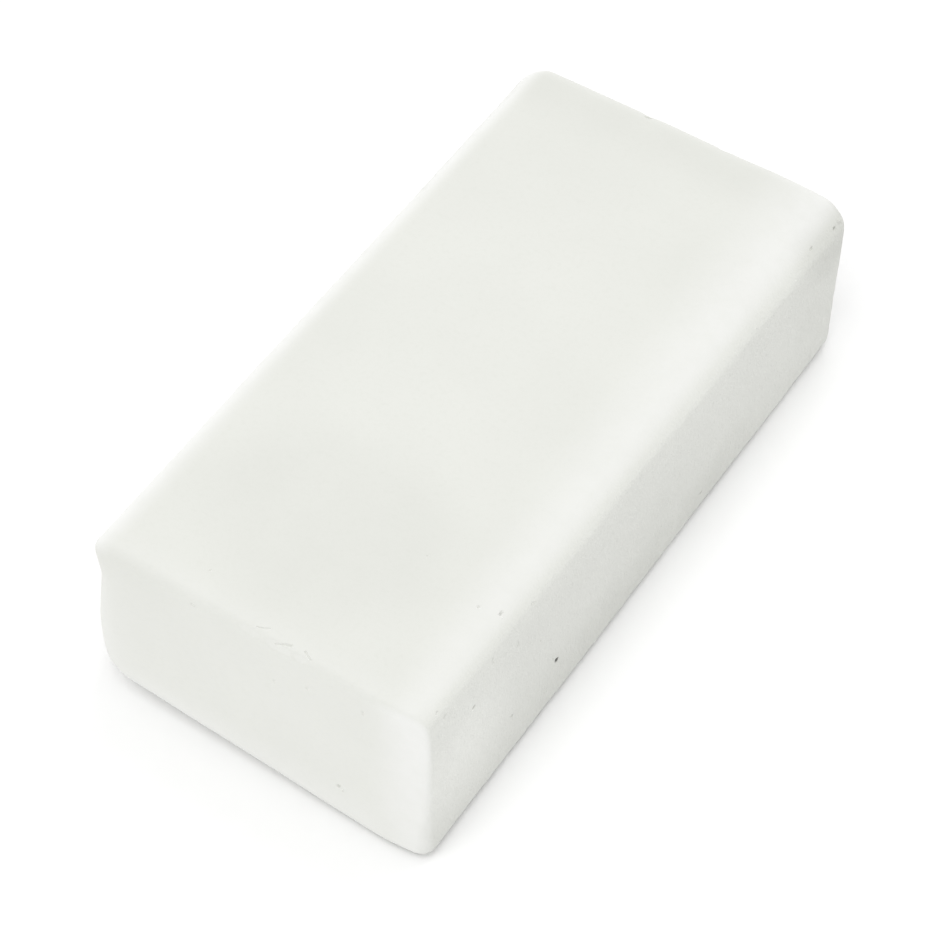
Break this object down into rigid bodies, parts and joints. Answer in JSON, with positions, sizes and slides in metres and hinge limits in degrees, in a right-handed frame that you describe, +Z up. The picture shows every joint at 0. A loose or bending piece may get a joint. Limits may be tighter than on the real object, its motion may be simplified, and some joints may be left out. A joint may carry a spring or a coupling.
{
  "type": "gymnastics chalk block",
  "caption": "Plain white rectangular block of pressed gym chalk with softly worn edges and corners and a flat underside.",
  "frame": {"origin": "middle of the flat underside, at the bottom centre of the block's box", "axes": "+X across the block towards its rougher long side, +Y along its length towards the back end, +Z up through its thickness"},
  "size_m": [0.0484, 0.1, 0.026],
  "materials": {
    "chalk": "matte"
  },
  "bodies": {
    "root": {"chalk_block": "chalk"}
  },
  "joints": []
}
